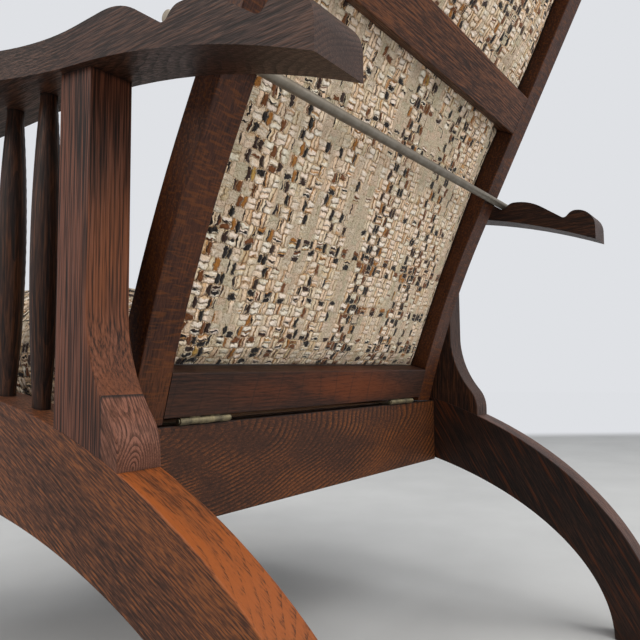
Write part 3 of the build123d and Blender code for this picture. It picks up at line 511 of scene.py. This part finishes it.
def points(piece):
    """The vertices of a piece as an array."""
    places = np.empty(len(piece.data.vertices) * 3)
    piece.data.vertices.foreach_get("co", places)
    return places.reshape(-1, 3)


def set_points(piece, places):
    """Put the vertices of a piece back, moved."""
    piece.data.vertices.foreach_set("co", np.ascontiguousarray(places).ravel())
    piece.data.update()


def applied(piece):
    """The piece's mesh with its modifiers applied."""
    evaluated = piece.evaluated_get(bpy.context.evaluated_depsgraph_get())
    mesh = bpy.data.meshes.new_from_object(evaluated)
    piece.modifiers.clear()
    return mesh


def puffed(node, name, pull_in, cap):
    """A cushion from a soft node's shape: drawn in a little, then blown up as cloth, and held to the cap."""
    mesh = cad[node].data.copy()
    mesh.name = name
    piece = bpy.data.objects.new(name, mesh)
    scene.collection.objects.link(piece)
    shape = bmesh.new()
    shape.from_mesh(mesh)
    bmesh.ops.remove_doubles(shape, verts=shape.verts, dist=0.00002)
    shape.to_mesh(mesh)
    shape.free()
    remesh = piece.modifiers.new("remesh", "REMESH")
    remesh.mode = "VOXEL"
    remesh.voxel_size = VOXEL
    smooth = piece.modifiers.new("smooth", "SMOOTH")
    smooth.factor = 0.5
    smooth.iterations = 4
    piece.data = applied(piece)
    normals = np.empty(len(piece.data.vertices) * 3)
    piece.data.vertex_normals.foreach_get("vector", normals)
    start = points(piece) - normals.reshape(-1, 3) * pull_in
    piece.data.vertices.foreach_set("co", start.ravel())
    cloth = piece.modifiers.new("cloth", "CLOTH")
    cloth.settings.use_pressure = True
    cloth.settings.uniform_pressure_force = PRESSURE
    cloth.settings.effector_weights.gravity = 0
    cloth.settings.quality = 5
    cloth.settings.tension_stiffness = 15
    cloth.settings.compression_stiffness = 15
    cloth.settings.bending_stiffness = 0.5
    cloth.collision_settings.use_collision = False
    for step in range(1, LAST_STEP + 1):
        scene.frame_set(step)
    swollen = points(piece.evaluated_get(bpy.context.evaluated_depsgraph_get()))
    moved = swollen - start
    far = np.linalg.norm(moved, axis=1, keepdims=True)
    piece.modifiers.clear()
    held = start + moved * np.minimum(1, cap / np.maximum(far, 1e-9))
    piece.data.vertices.foreach_set("co", held.ravel())
    scene.frame_set(1)
    piece.data.update()
    subdivide = piece.modifiers.new("subdivide", "SUBSURF")
    subdivide.levels = 1
    subdivide.render_levels = 1
    piece.data = applied(piece)
    piece.data.name = name
    return piece


def cover(piece, material, lean, origin):
    """Lay the weave on a piece, straight on each of its sides, and give it its cloth."""
    piece.data.materials.clear()
    piece.data.materials.append(material)
    for polygon in piece.data.polygons:
        polygon.use_smooth = True
    turned = points(piece) - np.array(origin)
    up = np.array([0, sin(lean), cos(lean)])
    out = np.array([0, cos(lean), -sin(lean)])
    local = np.stack([-turned[:, 0], turned @ up, turned @ out], -1)
    normals = np.empty(len(piece.data.polygons) * 3)
    piece.data.polygons.foreach_get("normal", normals)
    normals = normals.reshape(-1, 3)
    facing = np.abs(np.stack([normals[:, 0], normals @ up, normals @ out], -1))
    # The front and back keep their weave a little way round the edges
    facing[:, 2] *= 1.25
    side = facing.argmax(1)
    totals = np.empty(len(piece.data.polygons), dtype=np.int32)
    corners = np.empty(len(piece.data.loops), dtype=np.int32)
    piece.data.polygons.foreach_get("loop_total", totals)
    piece.data.loops.foreach_get("vertex_index", corners)
    corner_side = np.repeat(side, totals)
    at = local[corners]
    u = np.where(corner_side == 0, at[:, 2], at[:, 0])
    v = np.where(corner_side == 1, at[:, 2], at[:, 1])
    layer = piece.data.uv_layers.new(name="weave")
    layer.data.foreach_set("uv", np.stack([u, v], -1).astype(np.float32).ravel())


def finish_soft(piece, body, slot, *replaced, fill=0.7):
    """Hand a soft piece to the frame."""
    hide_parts(*replaced)
    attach(piece, body)


# Stripes of the plaid: places from the stile and up the back in metres, and the dyed share from there on
warp_plan = ((0, 0.2), (0.026, 1.4), (0.046, 0.12), (0.082, 1.1), (0.096, 0.03), (0.122, 0.35), (0.13, 0.02),
             (0.144, 0.2), (0.154, 0.02), (0.162, 0.5), (0.172, 0.02), (0.187, 0.3), (0.194, 0.02),
             (0.24, 1.7), (0.256, 0.7), (0.264, 1.7), (0.28, 0.02), (0.338, 1.2), (0.352, 0.3), (0.37, 1.6),
             (0.385, 0.02), (0.4, 0.5), (0.41, 0.02), (0.424, 0.3), (0.43, 0.02), (0.454, 0.5), (0.466, 0.08))
weft_plan = ((0, 0.25), (0.06, 0.6), (0.078, 0.02), (0.108, 0.6), (0.121, 0.02), (0.158, 0.5), (0.17, 0.7),
             (0.18, 0.02), (0.232, 0.3), (0.24, 0.02), (0.314, 0.4), (0.322, 0.02), (0.354, 0.6),
             (0.366, 0.06), (0.5, 0.4), (0.512, 0.04))
panel_tweed = tweed("basket_tweed_panel", 0.0, warp_plan, weft_plan)
cushion_tweed = tweed("basket_tweed_cushion", 3.0, warp_plan, weft_plan)

panel_origin = (STILE_INNER_X, BACK_FOOT.y, BACK_FOOT.z)
for node, name in (("lower_back_panel", "lower_panel_cloth"), ("upper_back_panel", "upper_panel_cloth")):
    low, high = (np.array(corner_shade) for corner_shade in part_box(node))
    panel = puffed(node, name, pull_in=0.002, cap=0.005)
    places = points(panel)
    # The edges are tucked a little way into the frame
    middle = (low + high) / 2
    up = np.array(UP_THE_BACK)
    rise = (places - middle) @ up
    reach = ((points(cad[node]) - middle) @ up).max() + TUCK
    places += np.outer(rise * (reach / np.abs(rise).max() - 1), up)
    places[:, 0] *= (high[0] + TUCK) / np.abs(places[:, 0]).max()
    set_points(panel, places)
    cover(panel, panel_tweed, BACK_LEAN, panel_origin)
    finish_soft(panel, "back", "tweed", node)

# The seat cushion lies flat on the slats and stays clear of the posts and the rear rail
seat = puffed("seat_cushion", "seat_cushion_cloth", pull_in=0.010, cap=0.024)
places = points(seat)
places[:, 2] = np.maximum(places[:, 2], SEAT_LOW)
places[:, 0] = np.clip(places[:, 0], -SEAT_SIDE, SEAT_SIDE)
places[:, 1] = np.minimum(places[:, 1], SEAT_BACK)
set_points(seat, places)
cover(seat, cushion_tweed, radians(90), (STILE_INNER_X, 0, SEAT_LOW))
finish_soft(seat, "frame", "tweed", "seat_cushion", fill=0.75)

cushion = puffed("back_cushion", "back_cushion_cloth", pull_in=0.010, cap=0.024)
cover(cushion, cushion_tweed, BACK_LEAN, panel_origin)
finish_soft(cushion, "back", "tweed", "back_cushion", fill=0.7)

# Floor: trowelled concrete, pale grey, matt and faintly cloudy, which fades into the pale backdrop
FLOOR_RADIUS = 9
FADE = (3.4, 5.0)  # distances from the chair at which it starts to fade and has gone
BEHIND = (-0.806, -0.592, 0)  # away from the camera
HORIZON = (2.3, 2.62)  # the same, behind the chair
CLOUDINESS = 0.2  # size of a cloudy patch
floor_shape = bmesh.new()
bmesh.ops.create_circle(floor_shape, cap_ends=True, segments=96, radius=FLOOR_RADIUS)
floor_mesh = bpy.data.meshes.new("floor")
floor_shape.to_mesh(floor_mesh)
floor_shape.free()
floor = bpy.data.objects.new("floor", floor_mesh)
scene.collection.objects.link(floor)
concrete, tree, shader = new_material("trowelled_concrete")
place = add(tree, "TexCoord").outputs["Object"]
reach = add(tree, "VectorMath", {0: place}, operation="LENGTH").outputs["Value"]
fade = add(tree, "MapRange", {0: reach, 1: FADE[0], 2: FADE[1]}, interpolation_type="SMOOTHSTEP").outputs[0]
behind = add(tree, "VectorMath", {0: place, 1: BEHIND}, operation="DOT_PRODUCT").outputs["Value"]
behind = add(tree, "MapRange", {0: behind, 1: HORIZON[0], 2: HORIZON[1]},
             interpolation_type="SMOOTHSTEP").outputs[0]
fade = add(tree, "Math", {0: fade, 1: behind}, operation="MAXIMUM").outputs[0]
cloudy = add(tree, "TexNoise", {"Vector": place, "Scale": 1 / CLOUDINESS, "Detail": 4,
                                "Roughness": 0.5}).outputs["Fac"]
trowelled = add(tree, "ValToRGB", {0: cloudy}, stops=((0.3, "#c1c3c4"), (0.7, "#cacccd"))).outputs[0]
tree.links.new(trowelled, shader.inputs["Base Color"])
shader.inputs["Roughness"].default_value = 0.8
pale = add(tree, "Emission", {0: hex_colour("#dee0e4"), 1: 1.0}).outputs[0]
mixed = add(tree, "MixShader", {0: fade, 1: shader.outputs[0], 2: pale}).outputs[0]
tree.links.new(mixed, tree.nodes["Material Output"].inputs[0])
floor_mesh.materials.append(concrete)

# The world lights the chair softly; the camera, metal and glass see the pale backdrop instead
LIGHT_STRENGTH = 0.3
BACKDROP_STRENGTH = 1.0
world = bpy.data.worlds.new("studio")
scene.world = world
world.use_nodes = True
tree = world.node_tree
tree.nodes.clear()
path = add(tree, "LightPath").outputs
seen = add(tree, "Math", {0: path["Is Camera Ray"], 1: path["Is Glossy Ray"]}, operation="MAXIMUM").outputs[0]
seen = add(tree, "Math", {0: seen, 1: path["Is Transmission Ray"]}, operation="MAXIMUM").outputs[0]
soft = add(tree, "Background", {0: hex_colour("#eef1f5"), 1: LIGHT_STRENGTH}).outputs[0]
backdrop = add(tree, "Background", {0: hex_colour("#dfe1e5"), 1: BACKDROP_STRENGTH}).outputs[0]
mixed = add(tree, "MixShader", {0: seen, 1: soft, 2: backdrop}).outputs[0]
add(tree, "OutputWorld", {0: mixed})

# Three soft lamps: place, the point that each looks at, size in metres, watts and tint
for name, place, aim, size, power, tint in (
        ("side", (2.4, -0.5, 2.1), (0.2, 0.1, 0.4), 1.8, 40, "#fff8f0"),
        ("rear", (-0.4, 2.8, 2.2), (0, 0.2, 0.5), 2.8, 72, "#fffaf4"),
        ("top", (0.3, 0.8, 3.0), (0.1, 0.2, 0.4), 2.8, 58, "#fdfbf8")):
    lamp = bpy.data.lights.new(name, "AREA")
    lamp.energy = power
    lamp.size = size
    lamp.color = hex_colour(tint)[:3]
    holder = bpy.data.objects.new(name, lamp)
    scene.collection.objects.link(holder)
    holder.location = place
    holder.rotation_euler = (Vector(aim) - Vector(place)).to_track_quat("-Z", "Y").to_euler()

# Camera: close behind the sitter's left shoulder, low, looking up a little
CAMERA_PLACE = (0.6060, 0.6712, 0.3495)
YAW = 0.63303  # radians
PITCH = 0.078792
ROLL = -0.009479
FOCAL_LENGTH = 631.9  # in pixels of an image that is 640 wide
IMAGE_WIDTH = 640
look = Vector((-cos(YAW) * cos(PITCH), -sin(YAW) * cos(PITCH), sin(PITCH)))
level = look.cross(Vector((0, 0, 1))).normalized()
upward = level.cross(look)
right = level * cos(ROLL) + upward * sin(ROLL)
over = upward * cos(ROLL) - level * sin(ROLL)
camera_data = bpy.data.cameras.new("camera")
camera_data.lens = FOCAL_LENGTH / IMAGE_WIDTH * camera_data.sensor_width
camera_data.clip_start = 0.02
camera = bpy.data.objects.new("camera", camera_data)
scene.collection.objects.link(camera)
turn = Matrix((right, over, -look)).transposed().to_4x4()
camera.matrix_world = Matrix.Translation(CAMERA_PLACE) @ turn
scene.camera = camera
scene.view_settings.view_transform = "Standard"
